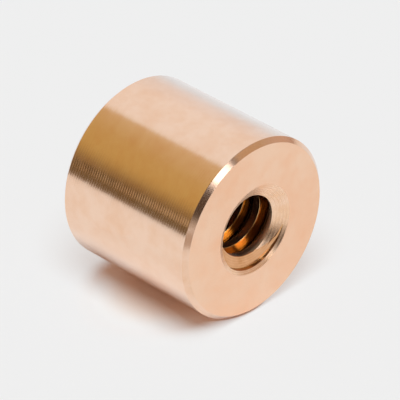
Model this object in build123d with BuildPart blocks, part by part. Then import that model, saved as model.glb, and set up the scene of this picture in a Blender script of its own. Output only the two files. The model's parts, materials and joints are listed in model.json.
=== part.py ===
"""Round trapezoidal nut, Tr 16x4 right-hand, turned from one bar of gunmetal.

A travelling nut for a lead screw: a plain turned sleeve with a metric trapezoidal thread (ISO 2904)
through it, held in its housing by the outside. The thread is in the solid, cut on its true helix.

Frame: millimetres. The thread's axis is +Z. The nut stands on one end face at Z = 0, with the axis
through X = Y = 0. Both ends are alike.
"""

import os
from math import ceil, radians, tan

from build123d import *
from build123d.topology import SkipClean

os.makedirs("parts", exist_ok=True)

# Thread, metric trapezoidal, single start
NOMINAL_D = 16.0  # outside diameter of the screw that it runs on
PITCH = 4.0
FLANK_ANGLE = 15.0  # each flank, from square to the axis
CREST_CLEARANCE = 0.25  # between the screw's crest and the root of the nut's groove, on the radius
BORE_ALLOWANCE = 0.25  # bored over the minor diameter before threading, within class 4H
GROOVE_PHASE = 0.1  # share of a pitch, the height of the groove's centre over +X at Z = 0

# Body
BODY_D = 36.0
LENGTH = 32.0  # twice the nominal diameter
EDGE_CHAMFER = 0.9  # outer corner of each end, 45 degrees

# Mouths, countersunk at both ends so that the first turn has no feather edge
MOUTH_CLEARANCE = 0.75  # past the root of the groove, on the radius
MOUTH_ANGLE = 120.0  # included

# Related sizes, by radius
body_r = BODY_D / 2
pitch_r = (NOMINAL_D - PITCH / 2) / 2
bore_r = (NOMINAL_D - PITCH + BORE_ALLOWANCE) / 2
root_r = NOMINAL_D / 2 + CREST_CLEARANCE
mouth_r = root_r + MOUTH_CLEARANCE
mouth_apex = mouth_r / tan(radians(MOUTH_ANGLE / 2))  # depth at which the countersink would close


def groove_width(radius: float) -> float:
    """Axial width of the groove at a radius: half the pitch on the pitch line, wider inwards."""
    return PITCH / 2 + 2 * (pitch_r - radius) * tan(radians(FLANK_ANGLE))


# The threading tool: its tip on the root, its back out in the open bore
tool_back_r = bore_r - PITCH / 8
tool_tip = groove_width(root_r)
tool_back = groove_width(tool_back_r)

# The groove starts below one face and runs out past the other
thread_start = (GROOVE_PHASE - 1) * PITCH
thread_turns = ceil(LENGTH / PITCH) + 2

with BuildPart() as nut:
    # Turned blank: barrel, faced ends, broken corners and the countersink in each end
    with BuildSketch(Plane.XZ):
        with BuildLine():
            Polyline(
                (0, mouth_apex),
                (mouth_r, 0),
                (body_r - EDGE_CHAMFER, 0),
                (body_r, EDGE_CHAMFER),
                (body_r, LENGTH - EDGE_CHAMFER),
                (body_r - EDGE_CHAMFER, LENGTH),
                (mouth_r, LENGTH),
                (0, LENGTH - mouth_apex),
                close=True,
            )
        make_face()
    revolve(axis=Axis.Z)

    # One turn of the thread's groove, the tool's trapezium carried along the helix
    with BuildLine() as helix:
        Helix(pitch=PITCH, height=PITCH, radius=pitch_r)
    with BuildSketch(Plane.XZ) as tool:
        with BuildLine():
            Polyline(
                (tool_back_r, -tool_back / 2),
                (root_r, -tool_tip / 2),
                (root_r, tool_tip / 2),
                (tool_back_r, tool_back / 2),
                close=True,
            )
        make_face()
    one_turn = sweep(tool.sketch, path=helix.line, is_frenet=True, mode=Mode.PRIVATE)

    # Neighbouring faces stay apart here, so that the crest is left as half turns and not as one ribbon
    with SkipClean():
        # Bored in two half rounds
        half_bore = Solid.make_cylinder(bore_r, LENGTH, angle=180)
        for turned in (0, 180):
            add(half_bore, rotation=(0, 0, turned), mode=Mode.SUBTRACT)

        # Threaded turn by turn, from below one mouth to past the other
        for k in range(thread_turns):
            with Locations((0, 0, thread_start + k * PITCH)):
                add(one_turn, mode=Mode.SUBTRACT)

nut.part.label = "nut_body"
export_step(nut.part, "parts/nut_body.step")
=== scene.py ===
"""The trapezoidal nut, dressed in turned gunmetal and lying on a plain pale bench.

The nut is one turned piece. Its mesh is drawn here once more from a few sizes, with the small rounded edges
that deburring leaves, and each surface gets the finish of the cut that made it. The bench stands tangent to
the barrel, on the side where Y is lowest, so +Y points up in this scene and the thread's axis lies level.
"""

import json
import logging
from dataclasses import dataclass, field
from enum import Enum
from math import atan2, ceil, cos, floor, pi, radians, sin, tan
from typing import ClassVar

import bpy
from mathutils import Matrix, Vector


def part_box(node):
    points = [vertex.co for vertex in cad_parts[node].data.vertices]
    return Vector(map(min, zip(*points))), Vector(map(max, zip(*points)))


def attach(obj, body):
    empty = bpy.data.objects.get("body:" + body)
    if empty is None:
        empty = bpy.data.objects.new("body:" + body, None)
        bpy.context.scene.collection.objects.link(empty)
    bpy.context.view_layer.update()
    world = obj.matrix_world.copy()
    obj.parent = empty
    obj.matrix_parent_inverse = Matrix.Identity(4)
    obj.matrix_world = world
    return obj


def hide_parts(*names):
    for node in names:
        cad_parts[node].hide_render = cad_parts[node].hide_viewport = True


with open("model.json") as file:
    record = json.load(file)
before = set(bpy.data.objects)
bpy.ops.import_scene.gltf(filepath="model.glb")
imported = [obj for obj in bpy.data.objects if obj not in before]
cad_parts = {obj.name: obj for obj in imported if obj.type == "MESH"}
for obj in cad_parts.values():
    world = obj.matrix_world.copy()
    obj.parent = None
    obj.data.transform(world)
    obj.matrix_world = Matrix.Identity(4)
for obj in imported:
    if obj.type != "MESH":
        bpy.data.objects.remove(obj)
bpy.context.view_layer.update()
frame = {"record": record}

MM = 0.001
MICRON = 1e-6
NODE = "nut_body"

# The least difference between two heights, in millimetres, that anything is divided by.
LEAST_STEP = 1e-9
# The length, in metres, after which a wave texture with a scale of 1 repeats.
WAVE_LENGTH = pi / 10
# A mix node has sockets for each kind of value under the same names, and these are the ones for colours.
COLOUR_A, COLOUR_B, COLOUR_RESULT = 6, 7, 2

log = logging.getLogger("trapezoidal_nut")


def linear(hex_colour: str) -> tuple[float, float, float, float]:
    """Turn an sRGB colour into the linear one that Blender's sockets take.

    Args:
        hex_colour: six hex digits, with or without a leading hash.

    Returns:
        Red, green, blue and an alpha of 1.
    """
    digits = hex_colour.lstrip("#")
    channels = [int(digits[i:i + 2], 16) / 255 for i in (0, 2, 4)]
    red, green, blue = (c / 12.92 if c <= 0.04045 else ((c + 0.055) / 1.055) ** 2.4 for c in channels)
    return red, green, blue, 1.0


def add_node(tree: bpy.types.NodeTree, kind: str, inputs: dict | None = None, **settings) -> bpy.types.Node:
    """Add one node with its settings, its constants and its links.

    Args:
        tree: the node tree it goes into.
        kind: the node's type, such as ShaderNodeMath.
        inputs: for each input, by name or number, a constant, the output socket that feeds it, or a node
            whose first output feeds it.
        **settings: properties of the node, such as operation.

    Returns:
        The new node.
    """
    node = tree.nodes.new(kind)
    for name, value in settings.items():
        setattr(node, name, value)
    for key, value in (inputs or {}).items():
        if isinstance(value, bpy.types.Node):
            value = value.outputs[0]
        if isinstance(value, bpy.types.NodeSocket):
            tree.links.new(value, node.inputs[key])
        else:
            node.inputs[key].default_value = value
    return node


def blank_material(name: str) -> bpy.types.Material:
    """Make a material whose node tree is still empty.

    Args:
        name: the material's name.

    Returns:
        The material.
    """
    material = bpy.data.materials.new(name)
    material.use_nodes = True
    material.node_tree.nodes.clear()
    return material


def shows(tree: bpy.types.NodeTree) -> bpy.types.Node:
    """Tell the rays that show a thing, to the camera or in metal or glass, from those that gather its light.

    Args:
        tree: the node tree that needs to know.

    Returns:
        A node that gives 1 for a ray that shows it and 0 for any other.
    """
    path = add_node(tree, "ShaderNodeLightPath").outputs
    opaque = add_node(tree, "ShaderNodeMath", {0: path["Is Camera Ray"], 1: path["Is Glossy Ray"]},
                      operation="MAXIMUM")
    return add_node(tree, "ShaderNodeMath", {0: opaque, 1: path["Is Transmission Ray"]}, operation="MAXIMUM")


class Surface(Enum):
    """The surfaces of the nut, each left by one cut of the tool."""

    BARREL = "barrel"
    END_FACE = "end face"
    CHAMFER = "chamfer"
    COUNTERSINK = "countersink"
    CREST = "thread crest"
    FLANK = "thread flank"
    ROOT = "thread root"


class Lay(Enum):
    """The way along which the tool advanced, one mark beside the next."""

    ALONG_AXIS = "along the axis"
    ALONG_RADIUS = "along the radius"


@dataclass(frozen=True)
class TurnedGunmetal:
    """Gunmetal, a tin bronze with zinc and lead, as a lathe tool leaves it.

    To the eye that is a pinkish gold mirror, blurred across the tool marks and crisp along them, because each
    mark is a fine groove that runs round the thread's axis. The marks themselves show only where the mirrored
    room turns from light to dark. The feed was near 0.1 mm a turn, which is too fine to show, so the marks are
    drawn about five times as coarse.

    Attributes:
        name: the material's name, which says how the surface was cut.
        lay: the way along which the tool advanced.
        colour: the clean metal.
        shade: the metal in its stains, its specks and the floor of its marks.
        roughness: the blur of the mirror, on average.
        anisotropy: how much stronger that blur is across the marks than along them.
        mark_mm: the distance from one tool mark to the next.
        mark_depth_um: how deep the marks are.
        mark_length_mm: how far round the axis a broad groove keeps its course.
        rough_share: how far the roughness swings between the floor of a mark and its ridge.
        groove_share: how much of the shade follows the marks.
        stain_mm: the size of the stains.
        speck_share: how much of the shade a speck takes.
        glance_sheen: the colour of a painted sheen, which pales the metal where it is seen at a glancing angle.
        glance_sheen_share: how much of the metal's own colour that painted sheen hides there.
        sheen_cloud_mm: the size of the random clouds in which that painted sheen is thicker or thinner.
        deep_bore_colour: the metal deep in the bore, or nothing: painted shade on crest and root, brighter on
            the flank.
        deep_bore_past_mm: how far below an end face that colour is whole, and how far below it begins.
        oil_film: how much clear oil lies on the surface.
        metal_share: how much bare metal there is among the dull dregs of the oil.
    """

    name: str
    lay: Lay
    colour: str = "FCD9C0"
    shade: str = "F8CEB0"
    roughness: float = 0.2
    anisotropy: float = 0.3
    mark_mm: float = 0.55
    mark_depth_um: float = 11.0
    mark_length_mm: float = 60.0
    rough_share: float = 0.2
    groove_share: float = 0.0
    stain_mm: float = 5.0
    speck_share: float = 0.12
    # A painted sheen: the metal pales towards this colour where it is seen at a glancing angle, unless its
    # share is 0.
    glance_sheen: str = "E0E2E6"
    glance_sheen_share: float = 0.4
    sheen_cloud_mm: float = 14.0
    # Deep in the bore the metal turns to this colour; where it is darker, as on crest and root, that is painted
    # shade.
    deep_bore_colour: str | None = None
    deep_bore_past_mm: tuple[float, float] = (4.5, 2.5)
    oil_film: float = 0.0
    metal_share: float = 1.0

    # Each pattern runs from 0 to 1, and what it draws comes in between these two values of it.
    STAIN_BAND: ClassVar[tuple[float, float]] = (0.4, 0.7)
    SPECK_BAND: ClassVar[tuple[float, float]] = (0.55, 0.8)
    CLOUD_BAND: ClassVar[tuple[float, float]] = (0.35, 0.65)
    MARK_BAND: ClassVar[tuple[float, float]] = (0.05, 0.6)
    # The painted sheen comes in as the surface turns from square to the eye, at 0, to edge-on, at 1.
    GLANCE_BAND: ClassVar[tuple[float, float]] = (0.55, 0.9)
    # The painted sheen at its thinnest and at its thickest, as shares of its set share.
    GLANCE_SHEEN_SPREAD: ClassVar[tuple[float, float]] = (0.5, 1.3)
    # A broad groove is as wide as four marks and as deep as two.
    BROAD_WIDTH: ClassVar[float] = 4
    BROAD_DEPTH: ClassVar[float] = 2.0
    # Specks are half as wide as a mark.
    SPECKS_PER_MARK: ClassVar[float] = 2
    # Clear oil is smoother than the metal under it, and mirrors more crisply.
    OIL_ROUGHNESS: ClassVar[float] = 0.12
    # The tangent runs round the axis, and a quarter of a turn lays the blur across the marks.
    QUARTER_TURN: ClassVar[float] = 0.25

    def material(self) -> bpy.types.Material:
        """Build the node material.

        Returns:
            A material whose marks follow the nut's own axis, with no image and no UV map.
        """
        material = blank_material(self.name)
        tree = material.node_tree
        place = add_node(tree, "ShaderNodeTexCoord").outputs["Object"]
        broad = self.broad_grooves(tree, place)
        marks = self.marks(tree, place, broad)
        gloss = add_node(tree, "ShaderNodeMapRange",
                         {"Value": marks, "From Min": self.MARK_BAND[0], "From Max": self.MARK_BAND[1],
                          "To Min": self.roughness * (1 - self.rough_share),
                          "To Max": self.roughness * (1 + self.rough_share)})
        height = add_node(tree, "ShaderNodeMath", {0: broad, 1: self.BROAD_DEPTH, 2: marks},
                          operation="MULTIPLY_ADD")
        bump = add_node(tree, "ShaderNodeBump", {"Strength": 1.0, "Distance": self.mark_depth_um * MICRON,
                                                 "Height": height})
        tangent = add_node(tree, "ShaderNodeTangent", direction_type="RADIAL", axis="Z")
        shader = add_node(tree, "ShaderNodeBsdfPrincipled",
                          {"Base Color": self.tint(tree, place, marks), "Metallic": self.metal_share,
                           "Roughness": gloss, "Anisotropic": self.anisotropy,
                           "Anisotropic Rotation": self.QUARTER_TURN, "Tangent": tangent, "Normal": bump,
                           "Coat Weight": self.oil_film, "Coat Roughness": self.OIL_ROUGHNESS})
        add_node(tree, "ShaderNodeOutputMaterial", {"Surface": shader})
        return material

    def broad_grooves(self, tree: bpy.types.NodeTree, place: bpy.types.NodeSocket) -> bpy.types.Node:
        """Draw noise out round the axis, so that it reads as uneven grooves between the marks.

        Args:
            tree: the material's node tree.
            place: the point's coordinates in the nut's frame.

        Returns:
            A node that gives their height from 0 to 1.
        """
        x, y, advance = add_node(tree, "ShaderNodeSeparateXYZ", {0: place}).outputs
        if self.lay is Lay.ALONG_RADIUS:
            level = add_node(tree, "ShaderNodeCombineXYZ", {0: x, 1: y})
            advance = add_node(tree, "ShaderNodeVectorMath", {0: level}, operation="LENGTH").outputs["Value"]
        across = 1 / (self.mark_mm * self.BROAD_WIDTH * MM)
        along = 1 / (self.mark_length_mm * MM)
        point = add_node(tree, "ShaderNodeCombineXYZ", {0: advance, 1: x, 2: y})
        drawn_out = add_node(tree, "ShaderNodeVectorMath", {0: point, 1: (across, along, along)},
                             operation="MULTIPLY")
        return add_node(tree, "ShaderNodeTexNoise",
                        {"Vector": drawn_out, "Scale": 1.0, "Detail": 2.0, "Roughness": 0.6})

    def marks(self, tree: bpy.types.NodeTree, place: bpy.types.NodeSocket,
              broad: bpy.types.Node) -> bpy.types.Node:
        """Draw the even marks of the feed, fainter where a broad groove has taken them away.

        Args:
            tree: the material's node tree.
            place: the point's coordinates in the nut's frame.
            broad: the node that gives the broad grooves.

        Returns:
            A node that gives their height from 0 to 1.
        """
        scale = WAVE_LENGTH / (self.mark_mm * MM)
        shape = "BANDS" if self.lay is Lay.ALONG_AXIS else "RINGS"
        feed = add_node(tree, "ShaderNodeTexWave", {"Vector": place, "Scale": scale}, wave_type=shape,
                        bands_direction="Z", rings_direction="Z")
        return add_node(tree, "ShaderNodeMath", {0: feed.outputs["Fac"], 1: broad}, operation="MULTIPLY")

    def tint(self, tree: bpy.types.NodeTree, place: bpy.types.NodeSocket,
             marks: bpy.types.Node) -> bpy.types.NodeSocket:
        """Colour the metal: clean, stained and specked, turned to its deep-bore colour inside, and under a
        painted sheen.

        Args:
            tree: the material's node tree.
            place: the point's coordinates in the nut's frame.
            marks: the node that gives the tool marks.

        Returns:
            The colour.
        """
        stain = add_node(tree, "ShaderNodeTexNoise", {"Vector": place, "Scale": 1 / (self.stain_mm * MM),
                                                      "Detail": 4.0, "Roughness": 0.65})
        stained = add_node(tree, "ShaderNodeMapRange", {"Value": stain, "From Min": self.STAIN_BAND[0],
                                                        "From Max": self.STAIN_BAND[1]})
        speck = add_node(tree, "ShaderNodeTexNoise",
                         {"Vector": place, "Scale": self.SPECKS_PER_MARK / (self.mark_mm * MM), "Detail": 1.0})
        specked = add_node(tree, "ShaderNodeMapRange",
                           {"Value": speck, "From Min": self.SPECK_BAND[0], "From Max": self.SPECK_BAND[1],
                            "To Min": 0.0, "To Max": self.speck_share})
        shaded = add_node(tree, "ShaderNodeMath", {0: stained, 1: specked}, operation="ADD")
        shaded = add_node(tree, "ShaderNodeMath", {0: marks, 1: self.groove_share, 2: shaded},
                          operation="MULTIPLY_ADD", use_clamp=True)
        metal = add_node(tree, "ShaderNodeMix", {"Factor": shaded, COLOUR_A: linear(self.colour),
                                                 COLOUR_B: linear(self.shade)}, data_type="RGBA")
        colour = metal.outputs[COLOUR_RESULT]
        if self.deep_bore_colour:
            colour = self.paint_deep_bore(tree, place, colour)
        glance_sheen = self.glance_sheen_cover(tree, place)
        covered = add_node(tree, "ShaderNodeMix", {"Factor": glance_sheen, COLOUR_A: colour,
                                                   COLOUR_B: linear(self.glance_sheen)}, data_type="RGBA")
        return covered.outputs[COLOUR_RESULT]

    def paint_deep_bore(self, tree: bpy.types.NodeTree, place: bpy.types.NodeSocket,
                      clean: bpy.types.NodeSocket) -> bpy.types.NodeSocket:
        """Turn the colour deep in the bore: painted shade on the crest and the root, a brighter gold on the
        flank.

        Args:
            tree: the material's node tree.
            place: the point's coordinates in the nut's frame.
            clean: the clean metal's colour.

        Returns:
            The colour, turned deep in the bore.
        """
        low, high = (corner[2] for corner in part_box(NODE))
        whole, begins = ((high - low) / 2 - depth * MM for depth in self.deep_bore_past_mm)
        height = add_node(tree, "ShaderNodeSeparateXYZ", {0: place}).outputs[2]
        offset = add_node(tree, "ShaderNodeMath", {0: height, 1: (low + high) / 2}, operation="SUBTRACT")
        from_middle = add_node(tree, "ShaderNodeMath", {0: offset}, operation="ABSOLUTE")
        cleanness = add_node(tree, "ShaderNodeMapRange",
                             {"Value": from_middle, "From Min": whole, "From Max": begins},
                             interpolation_type="SMOOTHSTEP")
        mixed = add_node(tree, "ShaderNodeMix", {"Factor": cleanness, COLOUR_A: linear(self.deep_bore_colour),
                                                 COLOUR_B: clean}, data_type="RGBA")
        return mixed.outputs[COLOUR_RESULT]

    def glance_sheen_cover(self, tree: bpy.types.NodeTree, place: bpy.types.NodeSocket) -> bpy.types.Node:
        """Paint a pale sheen in clouds over what is seen at a glancing angle.

        Args:
            tree: the material's node tree.
            place: the point's coordinates in the nut's frame.

        Returns:
            A node that gives how much of the metal the painted sheen hides.
        """
        facing = add_node(tree, "ShaderNodeLayerWeight").outputs["Facing"]
        cloud = add_node(tree, "ShaderNodeTexNoise", {"Vector": place, "Scale": 1 / (self.sheen_cloud_mm * MM),
                                                      "Detail": 3.0, "Roughness": 0.6})
        thickness = add_node(tree, "ShaderNodeMapRange",
                             {"Value": cloud, "From Min": self.CLOUD_BAND[0], "From Max": self.CLOUD_BAND[1],
                              "To Min": self.glance_sheen_share * self.GLANCE_SHEEN_SPREAD[0],
                              "To Max": self.glance_sheen_share * self.GLANCE_SHEEN_SPREAD[1]})
        return add_node(tree, "ShaderNodeMapRange",
                        {"Value": facing, "From Min": self.GLANCE_BAND[0], "From Max": self.GLANCE_BAND[1],
                         "To Min": 0.0, "To Max": thickness}, interpolation_type="SMOOTHSTEP")


FINISHES = {
    # Turned along its length with a round-nosed tool: a soft mirror with fine rings where light turns to dark,
    # and a painted sheen where it turns away from the eye.
    Surface.BARREL: TurnedGunmetal("turned_gunmetal_barrel", Lay.ALONG_AXIS, roughness=0.18),
    # Faced from the rim inwards in one light cut: an even, nearly plain sheen with broad, faint clouds.
    Surface.END_FACE: TurnedGunmetal("faced_gunmetal_end", Lay.ALONG_RADIUS, colour="FCD4B6", shade="FBC5A0",
                                     mark_depth_um=1.0, stain_mm=14.0),
    # Bevelled by the side of the tool: a narrow band that flashes from end to end, with no marks to be seen.
    Surface.CHAMFER: TurnedGunmetal("chamfered_gunmetal_edge", Lay.ALONG_AXIS, colour="FBD6BC", shade="F3C6A4",
                                    mark_depth_um=0.0, roughness=0.2, rough_share=0.0),
    # Countersunk by a tool that rubbed: duller than the rest, with rings that spread each light sideways.
    Surface.COUNTERSINK: TurnedGunmetal("countersunk_gunmetal_mouth", Lay.ALONG_RADIUS, colour="FFDABC",
                                        shade="F6C69C", groove_share=0.2, mark_depth_um=6.0, roughness=0.32,
                                        anisotropy=0.85, glance_sheen_share=0.0),
    # Bored smooth and left under clear oil: glossy, browner deep in the bore with painted shade, and greyish
    # at a low angle with a painted sheen.
    Surface.CREST: TurnedGunmetal("bored_gunmetal_crest", Lay.ALONG_AXIS, colour="F8CCA6", shade="F0BE94",
                                  roughness=0.1, mark_depth_um=1.0, glance_sheen_share=0.6, deep_bore_colour="80563E",
                                  deep_bore_past_mm=(2.6, 1.5), oil_film=0.5, metal_share=0.75),
    # Cut by the side of the threading tool: ringed from crest to root, and orange where two flanks mirror
    # each other.
    Surface.FLANK: TurnedGunmetal("threaded_gunmetal_flank", Lay.ALONG_RADIUS, colour="EAB284",
                                  shade="D09460", groove_share=0.5, roughness=0.14, mark_mm=0.45,
                                  mark_depth_um=8.0, anisotropy=0.6, glance_sheen_share=0.0, deep_bore_colour="ECC486",
                                  oil_film=0.3),
    # Cut by the tip of the threading tool: smooth, and the darkest of them all, with painted shade deep in the
    # bore.
    Surface.ROOT: TurnedGunmetal("threaded_gunmetal_root", Lay.ALONG_AXIS, colour="DCB480", shade="C8A068",
                                 roughness=0.14, mark_depth_um=1.0, glance_sheen_share=0.0, deep_bore_colour="64503C",
                                 oil_film=0.3),
}


@dataclass(frozen=True)
class Corner:
    """One corner of the nut's section through its axis.

    Attributes:
        height: how high it lies along the axis, in millimetres.
        radius: how far it lies from the axis, in millimetres.
        surface: the surface that runs from this corner to the next.
        mark: which corner it is, so that the same one is found again in the next section round the axis.
    """

    height: float
    radius: float
    surface: Surface
    mark: tuple[object, ...]


# One section's vertices, each with its corner, in their order round the section.
Loop = list[tuple[int, Corner]]


def eased(corners: list[Corner], radius: float, steps: int = 3) -> list[Corner]:
    """Round every corner of an open line but its two ends.

    Args:
        corners: the line, from one end to the other.
        radius: the radius of the rounding, in millimetres.
        steps: how many straight pieces each rounding gets.

    Returns:
        The rounded line. A rounding belongs to the surface that follows it.
    """
    line = [corners[0]]
    for before, here, after in zip(corners, corners[1:], corners[2:]):
        come = Vector((here.height - before.height, here.radius - before.radius)).normalized()
        go = Vector((after.height - here.height, after.radius - here.radius)).normalized()
        turn = atan2(come.x * go.y - come.y * go.x, come.dot(go))
        start = Vector((here.height, here.radius)) - come * radius * tan(abs(turn) / 2)
        side = Vector((-come.y, come.x)) * (radius if turn > 0 else -radius)
        centre = start + side
        for step in range(steps + 1):
            spoke = Matrix.Rotation(turn * step / steps, 2) @ -side
            point = centre + spoke
            line.append(Corner(point.x, point.y, here.surface, (*here.mark, step)))
    line.append(corners[-1])
    return line


def radius_at(line: list[Corner], height: float) -> float:
    """Read a line's radius at a height, between its corners.

    Args:
        line: corners with rising heights.
        height: the height that is asked for. Past an end of the line, the radius of that end holds.

    Returns:
        The radius there.
    """
    for low, high in zip(line, line[1:]):
        if low.height <= height <= high.height:
            share = (height - low.height) / max(high.height - low.height, LEAST_STEP)
            return low.radius + share * (high.radius - low.radius)
    return line[0].radius if height < line[0].height else line[-1].radius


@dataclass
class NutBody:
    """The nut's body: barrel, two faced ends, two countersinks and the trapezoidal thread, all in millimetres.

    Attributes:
        body_radius: the barrel.
        length: from one end face to the other.
        bore_radius: the thread's crest.
        edge_chamfer: the width of the bevel at both ends of the barrel.
        pitch: from one groove to the next.
        pitch_radius: where groove and ridge are equally wide.
        root_radius: the floor of the groove.
        flank_degrees: how far each flank leans.
        groove_phase: the height of a groove's middle at the angle 0, as a share of the pitch.
        mouth_radius: the countersinks, where they meet the end faces.
        mouth_degrees: the angle between a countersink's opposite sides.
        edge_round: the small rounding that deburring leaves on the outer edges.
        thread_round: the same in the thread.
        columns: how many sections there are round the axis.
        finishes: the finish of each surface.
    """

    body_radius: float
    length: float
    bore_radius: float
    edge_chamfer: float = 0.9
    pitch: float = 4.0
    pitch_radius: float = 7.0
    root_radius: float = 8.25
    flank_degrees: float = 15.0
    groove_phase: float = 0.1
    mouth_radius: float = 9.0
    mouth_degrees: float = 120.0
    edge_round: float = 0.12
    thread_round: float = 0.12
    columns: int = 240
    finishes: dict[Surface, TurnedGunmetal] = field(default_factory=lambda: FINISHES)

    def outside(self) -> list[Corner]:
        """Draw the line from the upper mouth over face, chamfer and barrel to the lower mouth.

        Returns:
            The line's corners, which are the same all round.
        """
        chamfer_radius = self.body_radius - self.edge_chamfer
        line = [
            Corner(self.length, self.mouth_radius, Surface.END_FACE, ("upper mouth",)),
            Corner(self.length, chamfer_radius, Surface.CHAMFER, ("upper face edge",)),
            Corner(self.length - self.edge_chamfer, self.body_radius, Surface.BARREL, ("upper barrel edge",)),
            Corner(self.edge_chamfer, self.body_radius, Surface.CHAMFER, ("lower barrel edge",)),
            Corner(0.0, chamfer_radius, Surface.END_FACE, ("lower face edge",)),
            Corner(0.0, self.mouth_radius, Surface.COUNTERSINK, ("lower mouth",)),
        ]
        return eased(line, self.edge_round)

    def mouths(self) -> list[Corner]:
        """Draw the two countersinks as one line along the axis, joined by a line that stays inside the bore.

        Returns:
            The line's corners, from the lower end face to the upper one.
        """
        slope = tan(radians(self.mouth_degrees / 2))
        hidden = self.bore_radius / 2  # well inside the crest, so the thread is always the line cut further out
        depth = (self.mouth_radius - hidden) / slope
        return [
            Corner(0.0, self.mouth_radius, Surface.COUNTERSINK, ("lower cone",)),
            Corner(depth, hidden, Surface.COUNTERSINK, ("lower apex",)),
            Corner(self.length - depth, hidden, Surface.COUNTERSINK, ("upper apex",)),
            Corner(self.length, self.mouth_radius, Surface.COUNTERSINK, ("upper cone",)),
        ]

    def thread(self, turn: float) -> list[Corner]:
        """Draw the thread's profile along the axis, in the half plane at one angle.

        Args:
            turn: the angle about the axis, as a share of a whole turn.

        Returns:
            The profile's corners, from below the lower end face to above the upper one.
        """
        lean = tan(radians(self.flank_degrees))
        half_width = self.pitch / 4  # at the pitch radius, groove and ridge share the pitch equally
        half_root = half_width - (self.root_radius - self.pitch_radius) * lean
        half_mouth = half_width + (self.pitch_radius - self.bore_radius) * lean
        groove = [
            (-half_mouth, self.bore_radius, Surface.FLANK, "groove's lower lip"),
            (-half_root, self.root_radius, Surface.ROOT, "root's lower corner"),
            (half_root, self.root_radius, Surface.FLANK, "root's upper corner"),
            (half_mouth, self.bore_radius, Surface.CREST, "groove's upper lip"),
        ]
        first = floor(-self.groove_phase - turn) - 1
        last = ceil(self.length / self.pitch - self.groove_phase - turn) + 1
        line = [
            Corner((self.groove_phase + turn + count) * self.pitch + shift, radius, surface, (name, count))
            for count in range(first, last + 1)
            for shift, radius, surface, name in groove
        ]
        return eased(line, self.thread_round)

    def inside(self, turn: float) -> list[Corner]:
        """Draw the inner line at one angle: whichever of the thread and the countersinks was cut further out.

        Args:
            turn: the angle about the axis, as a share of a whole turn.

        Returns:
            The line's corners, from the lower end face to the upper one.
        """
        thread = self.thread(turn)
        mouths = self.mouths()
        kept = [corner for corner in thread
                if 0 < corner.height < self.length and corner.radius > radius_at(mouths, corner.height)]
        kept += [corner for corner in mouths if corner.radius >= radius_at(thread, corner.height)]
        kept += [crossing for low, high in zip(thread, thread[1:]) for near, far in zip(mouths, mouths[1:])
                 if (crossing := self.crossing(low, high, near, far))]
        return sorted(kept, key=lambda corner: corner.height)

    @staticmethod
    def crossing(low: Corner, high: Corner, near: Corner, far: Corner) -> Corner | None:
        """Find where a piece of the thread's line crosses a piece of a countersink's line.

        Args:
            low: the thread's corner before.
            high: the thread's corner after.
            near: the countersink's corner before.
            far: the countersink's corner after.

        Returns:
            The corner between them, or nothing where they don't cross.
        """
        start = max(low.height, near.height)
        end = min(high.height, far.height)
        if end <= start:
            return None
        gap_start = radius_at([low, high], start) - radius_at([near, far], start)
        gap_end = radius_at([low, high], end) - radius_at([near, far], end)
        if gap_start * gap_end >= 0:
            return None
        height = start + (end - start) * gap_start / (gap_start - gap_end)
        radius = radius_at([near, far], height)
        leads = low if gap_end > 0 else near
        return Corner(height, radius, leads.surface, ("crossing", low.mark, near.mark))

    def section(self, column: int) -> list[Corner]:
        """Draw one whole section: up the inside, then over the outside back to where it began.

        Args:
            column: the section's number round the axis.

        Returns:
            The section's corners, each of them once.
        """
        return self.inside(column / self.columns)[:-1] + self.outside()[:-1]

    def point(self, corner: Corner, column: int) -> Vector:
        """Place a corner in the nut's frame.

        Args:
            corner: the corner.
            column: the number of its section round the axis.

        Returns:
            The point, in metres.
        """
        angle = 2 * pi * (column / self.columns)
        return Vector((corner.radius * cos(angle), corner.radius * sin(angle), corner.height)) * MM

    def build(self) -> bpy.types.Object:
        """Make the body's mesh, section by section round the axis, and dress it.

        Returns:
            The finished piece.
        """
        vertices: list[Vector] = []
        loops: list[Loop] = []
        for column in range(self.columns):
            corners = self.section(column)
            loops.append(list(enumerate(corners, start=len(vertices))))
            vertices += [self.point(corner, column) for corner in corners]
        # The last section is the first one once more, with its corners marked one turn further up the thread.
        loops.append([(index, corner) for (index, _), corner in zip(loops[0], self.section(self.columns))])
        skin = [part for left, right in zip(loops, loops[1:])
                for part in self.stitch(left + left[:1], right + right[:1])]

        mesh = bpy.data.meshes.new("nut_turned_body")
        mesh.from_pydata(vertices, [], [face for face, _ in skin])
        order = list(self.finishes)
        for surface in order:
            mesh.materials.append(self.finishes[surface].material())
        for polygon, (_, surface) in zip(mesh.polygons, skin):
            polygon.material_index = order.index(surface)
            polygon.use_smooth = True
        mesh.validate()
        mesh.normals_split_custom_set(self.normals(mesh))
        piece = bpy.data.objects.new("nut_turned_body", mesh)
        bpy.context.scene.collection.objects.link(piece)
        return piece

    @staticmethod
    def normals(mesh: bpy.types.Mesh, sharp_degrees: float = 28.0) -> list[Vector]:
        """Work out a normal for every corner of every face, led by the broadest faces that meet there.

        Args:
            mesh: the finished mesh.
            sharp_degrees: faces that lean apart by more than this keep a crisp edge between them.

        Returns:
            One normal for each corner, in the mesh's own order.
        """
        limit = cos(radians(sharp_degrees))
        around: list[list[tuple[Vector, float]]] = [[] for _ in mesh.vertices]
        for polygon in mesh.polygons:
            weight = (polygon.area / MM ** 2) ** 2
            for vertex in polygon.vertices:
                around[vertex].append((polygon.normal.copy(), weight))
        return [sum((normal * weight for normal, weight in around[vertex]
                     if normal.dot(polygon.normal) > limit), Vector()).normalized()
                for polygon in mesh.polygons for vertex in polygon.vertices]

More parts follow.
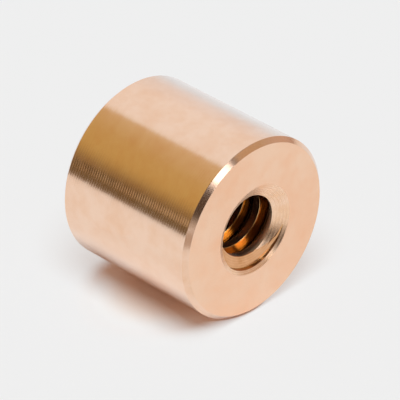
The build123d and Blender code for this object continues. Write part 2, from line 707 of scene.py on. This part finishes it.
    @staticmethod
    def stitch(left: Loop, right: Loop) -> list[tuple[tuple[int, ...], Surface]]:
        """Join two neighbouring sections with faces.

        Args:
            left: one section's vertices and corners, in order and closed on the first.
            right: the next section's.

        Returns:
            Each face with its surface.
        """
        skin: list[tuple[tuple[int, ...], Surface]] = []
        marks_left = {corner.mark for _, corner in left}
        marks_right = {corner.mark for _, corner in right}
        i = j = 0
        while i < len(left) - 1 or j < len(right) - 1:
            next_left = left[i + 1] if i < len(left) - 1 else None
            next_right = right[j + 1] if j < len(right) - 1 else None
            if next_left and next_right and next_left[1].mark == next_right[1].mark:
                skin.append(((left[i][0], next_left[0], next_right[0], right[j][0]), left[i][1].surface))
                i, j = i + 1, j + 1
            elif next_left and (next_right is None or next_left[1].mark not in marks_right
                                or next_left[1].height < next_right[1].height
                                and next_right[1].mark in marks_left):
                skin.append(((left[i][0], next_left[0], right[j][0]), left[i][1].surface))
                i += 1
            else:
                skin.append(((left[i][0], next_right[0], right[j][0]), right[j][1].surface))
                j += 1
        return skin


@dataclass(frozen=True)
class Spot:
    """An ellipse on the bench.

    Attributes:
        x: its middle along X, in metres.
        z: its middle along Z, in metres.
        reach_x: its half axis along X, in metres.
        reach_z: its half axis along Z, in metres.
    """

    x: float
    z: float
    reach_x: float
    reach_z: float

    def distance(self, tree: bpy.types.NodeTree, place: bpy.types.NodeSocket) -> bpy.types.NodeSocket:
        """Tell how far out a point of the bench lies.

        Args:
            tree: the material's node tree.
            place: the point's coordinates in the nut's frame.

        Returns:
            A distance that is 0 in the middle and 1 on the ellipse.
        """
        middle = (self.x, 0, self.z)
        shrink = (1 / self.reach_x, 0, 1 / self.reach_z)
        offset = add_node(tree, "ShaderNodeVectorMath", {0: place, 1: middle}, operation="SUBTRACT")
        scaled = add_node(tree, "ShaderNodeVectorMath", {0: offset, 1: shrink}, operation="MULTIPLY")
        return add_node(tree, "ShaderNodeVectorMath", {0: scaled}, operation="LENGTH").outputs["Value"]


@dataclass(frozen=True)
class Bench:
    """A sheet of matt white paper that the nut lies on, there only for what looks at it from above.

    To the eye it is even and pale, with one soft shadow. The paper is lit by the lamp and the room, and it has
    a faint warm glow of its own, painted light for what the bronze throws down, which shows in the shadow. Near
    the nut its colour turns reddish, a painted bounce, and the glow grows weaker, a painted shade. Further out
    a painted glow in the room's colour fills it up, so that no horizon shows; it also pales the lamp's shadow
    there, so that the shadow's outline is painted by the two spots that it leaves out.

    Attributes:
        height: where it lies along Y, in metres.
        half_width: half of one side, in metres.
        colour: the paper.
        painted_bounce_tint: the paper's colour near the nut, a painted reddish bounce.
        glow: the colour of the paper's faint glow, painted light for what the bronze throws down.
        painted_glow_share: how much of that painted glow the open paper has.
        fill: how much of the room's colour the paper glows with far out, a painted light that pales the shadow
            there.
        shade: the spot that the fill leaves to the nut's soft shadow, so that its rim is the shadow's painted
            outline.
        contact: the strip that it leaves to the dark line where the nut touches the paper, with a crisp painted
            edge.
        mirrored_scale: what the metal mirrors takes each distance for this share of it, a painted, wider shade.
    """

    height: float
    half_width: float = 2.0
    colour: str = "F0F0F0"
    # Painted light: near the nut a reddish bounce, and over the paper a faint warm glow, weaker in the shade.
    painted_bounce_tint: str = "F0DCD0"
    glow: str = "F0A078"
    painted_glow_share: float = 0.15
    # Painted fill: beyond the shade spot and the contact strip the paper glows in the room's colour, over the
    # shadow.
    fill: float = 0.6
    shade: Spot = Spot(x=-4 * MM, z=15 * MM, reach_x=20 * MM, reach_z=14.5 * MM)
    contact: Spot = Spot(x=0.0, z=16 * MM, reach_x=13 * MM, reach_z=15.2 * MM)
    mirrored_scale: float = 0.5

    # Distances from the middle of a spot, on which it is 1, between which each of these comes in: the plain
    # paper after its painted bounce, the full painted glow, the painted fill, and the fill past the contact
    # strip.
    CLEAN_BAND: ClassVar[tuple[float, float]] = (0.4, 0.85)
    GLOW_BAND: ClassVar[tuple[float, float]] = (0.35, 0.9)
    FILL_BAND: ClassVar[tuple[float, float]] = (0.85, 1.15)
    CONTACT_BAND: ClassVar[tuple[float, float]] = (1.0, 1.04)
    # How much of the painted glow is left in the deepest shade, which paints that shade darker.
    SHADED_GLOW: ClassVar[float] = 0.25
    # The sheet goes as the camera's line of sight turns along it, from this share of the way to this one.
    EDGE_ON_BAND: ClassVar[tuple[float, float]] = (0.9, 0.95)

    def build(self) -> None:
        reach = self.half_width
        corners = [(-reach, self.height, -reach), (-reach, self.height, reach),
                   (reach, self.height, reach), (reach, self.height, -reach)]
        mesh = bpy.data.meshes.new("bench")
        mesh.from_pydata(corners, [], [(0, 1, 2, 3)])
        mesh.materials.append(self.material())
        sheet = bpy.data.objects.new("bench", mesh)
        bpy.context.scene.collection.objects.link(sheet)

    def material(self) -> bpy.types.Material:
        """Matt paper with painted light of its own, which lets everything through that comes from below it.

        Returns:
            The paper's material.
        """
        material = blank_material("matt_white_paper")
        tree = material.node_tree
        place = add_node(tree, "ShaderNodeTexCoord").outputs["Object"]
        away = self.shade.distance(tree, place)
        filling = add_node(tree, "ShaderNodeEmission", {"Color": linear(self.colour)})
        filled = add_node(tree, "ShaderNodeMixShader", {0: self.fill_cover(tree, place, away),
                                                        1: self.paper(tree, away), 2: filling})
        clear = add_node(tree, "ShaderNodeBsdfTransparent")
        both = add_node(tree, "ShaderNodeMixShader", {0: self.clearness(tree), 1: filled, 2: clear})
        add_node(tree, "ShaderNodeOutputMaterial", {"Surface": both})
        return material

    def paper(self, tree: bpy.types.NodeTree, away: bpy.types.NodeSocket) -> bpy.types.Node:
        """Make the paper itself, with a painted reddish bounce and a painted glow that grows weaker near the
        nut.

        Args:
            tree: the material's node tree.
            away: the distance from the middle of the shade.

        Returns:
            The paper's shader.
        """
        clean = add_node(tree, "ShaderNodeMapRange",
                         {"Value": away, "From Min": self.CLEAN_BAND[0], "From Max": self.CLEAN_BAND[1]},
                         interpolation_type="SMOOTHSTEP")
        tint = add_node(tree, "ShaderNodeMix", {"Factor": clean, COLOUR_A: linear(self.painted_bounce_tint),
                                                COLOUR_B: linear(self.colour)}, data_type="RGBA")
        matt = add_node(tree, "ShaderNodeBsdfDiffuse", {"Color": tint.outputs[COLOUR_RESULT]})
        painted_glow = add_node(tree, "ShaderNodeEmission", {"Color": linear(self.glow)})
        strength = add_node(tree, "ShaderNodeMapRange",
                            {"Value": away, "From Min": self.GLOW_BAND[0], "From Max": self.GLOW_BAND[1],
                             "To Min": self.painted_glow_share * self.SHADED_GLOW, "To Max": self.painted_glow_share})
        share = add_node(tree, "ShaderNodeMath", {0: shows(tree), 1: strength}, operation="MULTIPLY")
        return add_node(tree, "ShaderNodeMixShader", {0: share, 1: matt, 2: painted_glow})

    def fill_cover(self, tree: bpy.types.NodeTree, place: bpy.types.NodeSocket,
                   away: bpy.types.NodeSocket) -> bpy.types.Node:
        """Bring the painted fill in round the nut's shade and its contact line, which paints the shadow's
        outline.

        Args:
            tree: the material's node tree.
            place: the point's coordinates in the nut's frame.
            away: the distance from the middle of the shade.

        Returns:
            A node that gives how much of the paper the fill hides.
        """
        mirrored = add_node(tree, "ShaderNodeLightPath").outputs["Is Glossy Ray"]
        scale = add_node(tree, "ShaderNodeMath", {0: mirrored, 1: self.mirrored_scale - 1, 2: 1.0},
                         operation="MULTIPLY_ADD")
        seen_away = add_node(tree, "ShaderNodeMath", {0: away, 1: scale}, operation="MULTIPLY")
        fill = add_node(tree, "ShaderNodeMapRange",
                        {"Value": seen_away, "From Min": self.FILL_BAND[0], "From Max": self.FILL_BAND[1],
                         "To Min": 0.0, "To Max": self.fill}, interpolation_type="SMOOTHSTEP")
        untouched = add_node(tree, "ShaderNodeMapRange",
                             {"Value": self.contact.distance(tree, place), "From Min": self.CONTACT_BAND[0],
                              "From Max": self.CONTACT_BAND[1]}, interpolation_type="SMOOTHSTEP")
        fill = add_node(tree, "ShaderNodeMath", {0: fill, 1: untouched}, operation="MULTIPLY")
        return add_node(tree, "ShaderNodeMath", {0: fill, 1: shows(tree)}, operation="MULTIPLY")

    def clearness(self, tree: bpy.types.NodeTree) -> bpy.types.Node:
        """Let through what comes from below the sheet, and what the camera sees along it.

        Args:
            tree: the material's node tree.

        Returns:
            A node that gives 1 where the sheet is clear and 0 where it is paper.
        """
        path = add_node(tree, "ShaderNodeLightPath").outputs
        facing = add_node(tree, "ShaderNodeLayerWeight").outputs["Facing"]
        edge_on = add_node(tree, "ShaderNodeMapRange",
                           {"Value": facing, "From Min": self.EDGE_ON_BAND[0], "From Max": self.EDGE_ON_BAND[1],
                            "To Max": path["Is Camera Ray"]})
        underside = add_node(tree, "ShaderNodeNewGeometry").outputs["Backfacing"]
        from_below = add_node(tree, "ShaderNodeMath", {0: underside, 1: path["Transparent Depth"]},
                              operation="ADD")
        return add_node(tree, "ShaderNodeMath", {0: from_below, 1: edge_on}, operation="ADD", use_clamp=True)


@dataclass(frozen=True)
class Card:
    """A curved card that stands round the nut for its polished metal to mirror, and that nothing else sees.

    Bearings run round the upright (+Y) from the way the mouth faces (+Z) towards +X, and heights are angles
    above the level of the nut's middle, both in degrees.

    Attributes:
        name: the card's name.
        bearings: its two ends.
        heights: its lower and its upper edge.
        shades: colours, each with the height at which the card has it.
        glow: the strength of its light, where 1 shows the colours as they are written.
        distance: how far it stands from the middle of the nut, in metres.
        slats: the colour and the width, in degrees, of slats that stand before it, or nothing without them.
        fade: the width over which its ends grow dark, in degrees.
    """

    name: str
    bearings: tuple[float, float]
    heights: tuple[float, float]
    shades: tuple[tuple[float, str], ...]
    glow: float = 1.0
    distance: float = 0.45
    slats: tuple[str, float] | None = None
    fade: float = 0.0

    # One facet of the bent card is at most this wide and high, in degrees, and there are at least two each way.
    FACET: ClassVar[float] = 4
    FEWEST_FACETS: ClassVar[int] = 2
    # The slats' colour comes in softly, between this value of a sine wave below 0 and the same above it.
    SLAT_SOFTNESS: ClassVar[float] = 0.5
    # How dark a faded end gets.
    FADE_DEPTH: ClassVar[float] = 0.97
    BLACK: ClassVar[tuple[float, float, float, float]] = (0, 0, 0, 1)

    def build(self, centre: Vector) -> None:
        """Args:
            centre: the middle of the nut, which the card bends round.
        """
        start, end = self.bearings
        low, high = self.heights
        columns = max(self.FEWEST_FACETS, ceil(abs(end - start) / self.FACET))
        rows = max(self.FEWEST_FACETS, ceil((high - low) / self.FACET))
        vertices = []
        for row in range(rows + 1):
            height = radians(low + (high - low) * row / rows)
            for column in range(columns + 1):
                bearing = radians(start + (end - start) * column / columns)
                way = Vector((sin(bearing) * cos(height), sin(height), cos(bearing) * cos(height)))
                vertices.append(centre + way * self.distance)
        across = columns + 1
        faces = [(corner, corner + 1, corner + across + 1, corner + across)
                 for row in range(rows) for corner in range(row * across, row * across + columns)]
        mesh = bpy.data.meshes.new(self.name)
        mesh.from_pydata(vertices, [], faces)
        mesh.materials.append(self.material(centre))
        card = bpy.data.objects.new(self.name, mesh)
        bpy.context.scene.collection.objects.link(card)
        for kind in ("camera", "diffuse", "shadow", "transmission"):
            setattr(card, f"visible_{kind}", False)

    def material(self, centre: Vector) -> bpy.types.Material:
        """Card that glows by itself, shaded from its lower edge to its upper one.

        Args:
            centre: the middle of the nut.

        Returns:
            The card's material.
        """
        material = blank_material(self.name)
        tree = material.node_tree
        place = add_node(tree, "ShaderNodeTexCoord").outputs["Object"]
        from_nut = add_node(tree, "ShaderNodeVectorMath", {0: place, 1: centre}, operation="SUBTRACT")
        way = add_node(tree, "ShaderNodeVectorMath", {0: from_nut}, operation="NORMALIZE")
        x, y, z = add_node(tree, "ShaderNodeSeparateXYZ", {0: way}).outputs
        height = add_node(tree, "ShaderNodeMath", {0: y}, operation="ARCSINE")
        bearing = add_node(tree, "ShaderNodeMath", {0: x, 1: z}, operation="ARCTAN2")
        colour = self.shading(tree, height)
        if self.slats:
            colour = self.slatted(tree, bearing, colour)
        if self.fade:
            colour = self.faded(tree, bearing, colour)
        glow = add_node(tree, "ShaderNodeEmission", {"Color": colour, "Strength": self.glow})
        add_node(tree, "ShaderNodeOutputMaterial", {"Surface": glow})
        return material

    def shading(self, tree: bpy.types.NodeTree, height: bpy.types.Node) -> bpy.types.NodeSocket:
        """Shade the card by height, on a ramp that runs from straight down to straight up.

        Args:
            tree: the material's node tree.
            height: the node that gives the point's height, in radians.

        Returns:
            The colour.
        """
        share = add_node(tree, "ShaderNodeMapRange", {"Value": height, "From Min": -pi / 2, "From Max": pi / 2})
        ramp = add_node(tree, "ShaderNodeValToRGB", {0: share})
        stops = ramp.color_ramp.elements
        while len(stops) < len(self.shades):
            stops.new(0.5)
        for stop, (at, shade) in zip(stops, self.shades):
            stop.position = at / 180 + 0.5
            stop.color = linear(shade)
        return ramp.outputs[0]

    def slatted(self, tree: bpy.types.NodeTree, bearing: bpy.types.Node,
                colour: bpy.types.NodeSocket) -> bpy.types.NodeSocket:
        """Set upright slats before the card, with gaps as wide as they are.

        Args:
            tree: the material's node tree.
            bearing: the node that gives the point's bearing, in radians.
            colour: the card's colour without them.

        Returns:
            The colour with the slats.
        """
        shade, width = self.slats
        turned = add_node(tree, "ShaderNodeMath", {0: bearing, 1: 180 / width}, operation="MULTIPLY")
        wave = add_node(tree, "ShaderNodeMath", {0: turned}, operation="SINE")
        slat = add_node(tree, "ShaderNodeMapRange", {"Value": wave, "From Min": -self.SLAT_SOFTNESS,
                                                     "From Max": self.SLAT_SOFTNESS})
        mixed = add_node(tree, "ShaderNodeMix", {"Factor": slat, COLOUR_A: colour, COLOUR_B: linear(shade)},
                         data_type="RGBA")
        return mixed.outputs[COLOUR_RESULT]

    def faded(self, tree: bpy.types.NodeTree, bearing: bpy.types.Node,
              colour: bpy.types.NodeSocket) -> bpy.types.NodeSocket:
        """Let the card grow dark towards its two ends.

        Args:
            tree: the material's node tree.
            bearing: the node that gives the point's bearing, in radians.
            colour: the card's colour without that.

        Returns:
            The colour with the dark ends.
        """
        start, end = (radians(bearing_degrees) for bearing_degrees in self.bearings)
        half = (end - start) / 2
        offset = add_node(tree, "ShaderNodeMath", {0: bearing, 1: (start + end) / 2}, operation="SUBTRACT")
        aside = add_node(tree, "ShaderNodeMath", {0: offset}, operation="ABSOLUTE")
        dim = add_node(tree, "ShaderNodeMapRange",
                       {"Value": aside, "From Min": half - radians(self.fade), "From Max": half, "To Min": 0.0,
                        "To Max": self.FADE_DEPTH}, interpolation_type="SMOOTHSTEP")
        mixed = add_node(tree, "ShaderNodeMix", {"Factor": dim, COLOUR_A: colour, COLOUR_B: self.BLACK},
                         data_type="RGBA")
        return mixed.outputs[COLOUR_RESULT]


CARDS = (
    # The golden band along the barrel, and the dark stripe at its foot.
    Card("gold_card", (-177, -100), (-60, 84),
         ((-2, "6E5C40"), (6, "6A583A"), (11, "8A7350"), (17.5, "8E764E"), (24, "B3995F"), (30, "C1A666"),
          (44, "C4AA6E"), (50, "C8AF7E"), (54, "D0BA90"))),
    # Light and dark by turns, so that the tool marks show in that stripe.
    Card("slatted_card", (-177, -100), (7.5, 14), ((7.5, "463824"), (14, "463824")), distance=0.44,
         slats=("C4AC88", 9.0)),
    # The cool streak along the top of the barrel.
    Card("pale_card", (95, 155), (-11, 40),
         ((-5, "F0F6FA"), (9, "E6F0F8"), (21, "E8EAEE"), (32, "EAEAEC"), (40, "F0EEEE")), distance=0.09),
    # The browns and the darks that turn about on the chamfer's left side and in the countersink.
    Card("side_card", (-100, -46), (2, 80),
         ((2, "BCB4AA"), (10, "A89888"), (24, "7C6A5C"), (40, "8A7868"), (72, "8A7868"), (80, "A89C90"))),
    Card("dark_card", (-46, -13), (2, 80),
         ((2, "BCB4AA"), (7, "B4A89C"), (12, "3A3028"), (24, "54463A"), (34, "2A221C"), (56, "2A221C"),
          (72, "5C5048"), (80, "8A8078"))),
    Card("near_dark_card", (-70, -20), (-10, 3), ((-10, "B5A597"), (3, "B5A597")), distance=0.1),
    # The dark smear in the countersink beside the bore.
    Card("low_dark_card", (-22, 7), (-3, 12), ((0, "40342E"), (6, "40342E"), (12, "8A7A6C")), distance=0.43),
    Card("floor_dark_card", (-8, 13), (-13, -3), ((-13, "5A4A40"), (-3, "40342E")), distance=0.06),
    # The one bright flash on the chamfer.
    Card("softbox", (-20, 16), (20, 50), ((20, "A8A4A0"), (28, "FCFCFF"), (42, "FCFCFF"), (48, "5A5654")),
         glow=3.0, fade=9.0),
    # The brown of the chamfer's upper side, beyond a narrow dark gap.
    Card("shelf_card", (11, 20), (0, 80),
         ((0, "C4B4A8"), (14, "B8A898"), (24, "2A2420"), (56, "2A2420"), (72, "5C5048"), (80, "A09890"))),
    Card("warm_card", (20, 100), (0, 80),
         ((0, "B39E92"), (5, "BEA89C"), (10, "CAB3A4"), (18, "C9B1A0"), (26, "C3AE9C"), (34, "C1AE94"),
          (45, "CDB496"), (54, "6A5C50"), (74, "6A5C50"), (80, "8A8078"))),
    # Painted shade: a dark sheet at the far mouth, seen only in the metal, keeps the pale room out of the
    # thread.
    Card("far_mouth_shade_card", (157.5, 202.5), (-22.5, 22.5), ((0, "0A0806"), (1, "0A0806")), distance=0.0147),
)


@dataclass(frozen=True)
class Studio:
    """Plain soft light: an even pale room, one broad lamp, and the cards.

    Attributes:
        room_colour: the room as the camera and the metal see it.
        room_light: the strength of the light that it throws on everything else.
        room_tint: the colour of that light, warm as it comes back from the bronze.
        lamp_colour: the lamp, cool enough to leave the open bench neutral beside the room's warm light.
        lamp_strength: the lamp's strength.
        lamp_degrees: how broad the lamp looks from the nut, which softens the shadow.
        lamp_way: the way from the nut to the lamp.
        cards: the cards.
    """

    room_colour: str = "F0F0F0"
    room_light: float = 0.27
    room_tint: tuple[float, float, float, float] = (1.0, 0.78, 0.62, 1.0)
    lamp_colour: tuple[float, float, float] = (0.74, 0.92, 1.0)
    lamp_strength: float = 3.2
    lamp_degrees: float = 34.0
    lamp_way: tuple[float, float, float] = (-0.29, 1.0, 0.3)
    cards: tuple[Card, ...] = CARDS

    def build(self, centre: Vector) -> None:
        """Set up the room, the lamp and the cards.

        Args:
            centre: the middle of the nut.
        """
        self.room()
        self.lamp()
        for card in self.cards:
            card.build(centre)

    def room(self) -> None:
        """Give the world its pale colour, which the camera and the metal see, and its light for the rest."""
        world = bpy.data.worlds.new("pale_room")
        world.use_nodes = True
        tree = world.node_tree
        tree.nodes.clear()
        shown = add_node(tree, "ShaderNodeBackground", {"Color": linear(self.room_colour), "Strength": 1.0})
        light = add_node(tree, "ShaderNodeBackground", {"Color": self.room_tint, "Strength": self.room_light})
        both = add_node(tree, "ShaderNodeMixShader", {0: shows(tree), 1: light, 2: shown})
        add_node(tree, "ShaderNodeOutputWorld", {"Surface": both})
        bpy.context.scene.world = world

    def lamp(self) -> None:
        """Light the bench from nearly overhead, so that the shadow stays close to where the nut touches."""
        data = bpy.data.lights.new("broad_lamp", "SUN")
        data.color = self.lamp_colour
        data.energy = self.lamp_strength
        data.angle = radians(self.lamp_degrees)
        lamp = bpy.data.objects.new("broad_lamp", data)
        lamp.rotation_euler = Vector(self.lamp_way).to_track_quat("Z", "Y").to_euler()
        lamp.visible_camera = False
        lamp.visible_glossy = False
        bpy.context.scene.collection.objects.link(lamp)


@dataclass(frozen=True)
class Viewpoint:
    """The camera: it looks down on the lying nut from beyond its mouth, through a long lens.

    Attributes:
        swing_degrees: how far round it stands from the way the mouth faces, towards -X.
        elevation_degrees: how far above the bench's level.
        distance: how far from the point it looks at, in metres.
        lens_mm: the focal length.
        sensor_mm: the width of the sensor.
        clip: the nearest and the furthest that it sees, in metres.
        aim_right: how far the point it looks at lies to the right of the nut's middle, in metres.
        aim_up: how far it lies above that.
    """

    swing_degrees: float = 45.32
    elevation_degrees: float = 32.77
    distance: float = 0.6583
    lens_mm: float = 322.4
    sensor_mm: float = 36.0
    clip: tuple[float, float] = (0.01, 10.0)
    aim_right: float = 1.37 * MM
    aim_up: float = -0.66 * MM

    def build(self, centre: Vector) -> None:
        """Set the camera up.

        Args:
            centre: the middle of the nut.
        """
        swing, elevation = radians(self.swing_degrees), radians(self.elevation_degrees)
        back = Vector((-sin(swing) * cos(elevation), sin(elevation), cos(swing) * cos(elevation)))
        right = Vector((cos(swing), 0.0, sin(swing)))
        up = back.cross(right)
        data = bpy.data.cameras.new("camera")
        data.sensor_width = self.sensor_mm
        data.lens = self.lens_mm
        data.clip_start, data.clip_end = self.clip
        camera = bpy.data.objects.new("camera", data)
        camera.matrix_world = Matrix((right, up, back)).transposed().to_4x4()
        camera.location = centre + right * self.aim_right + up * self.aim_up + back * self.distance
        bpy.context.scene.collection.objects.link(camera)
        bpy.context.scene.camera = camera


def main() -> None:
    """Build the scene in order: the nut, the bench, the light and the camera."""
    logging.basicConfig(level=logging.INFO, format="%(message)s")
    bpy.context.scene.view_settings.view_transform = "Standard"
    low, high = (Vector(corner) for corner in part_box(NODE))
    seats = {mount["name"]: mount["dims"] for mount in frame["record"]["mounts"]}
    body = NutBody(body_radius=(high.x - low.x) / 2 / MM, length=(high.z - low.z) / MM,
                   bore_radius=seats["lead_screw_thread"]["r_mm"])
    piece = body.build()
    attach(piece, "root")
    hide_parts(NODE)
    finishes = ", ".join(finish.name for finish in body.finishes.values())
    log.info("%s: %d faces in %s", piece.name, len(piece.data.polygons), finishes)
    centre = (low + high) / 2
    bench = Bench(height=low.y)
    bench.build()
    log.info("bench: at y = %.4f m", bench.height)
    studio = Studio()
    studio.build(centre)
    log.info("studio: one lamp and %d cards", len(studio.cards))
    viewpoint = Viewpoint()
    viewpoint.build(centre)
    log.info("camera: %.1f mm lens at %.4f m", viewpoint.lens_mm, viewpoint.distance)


if __name__ == "__main__":
    main()
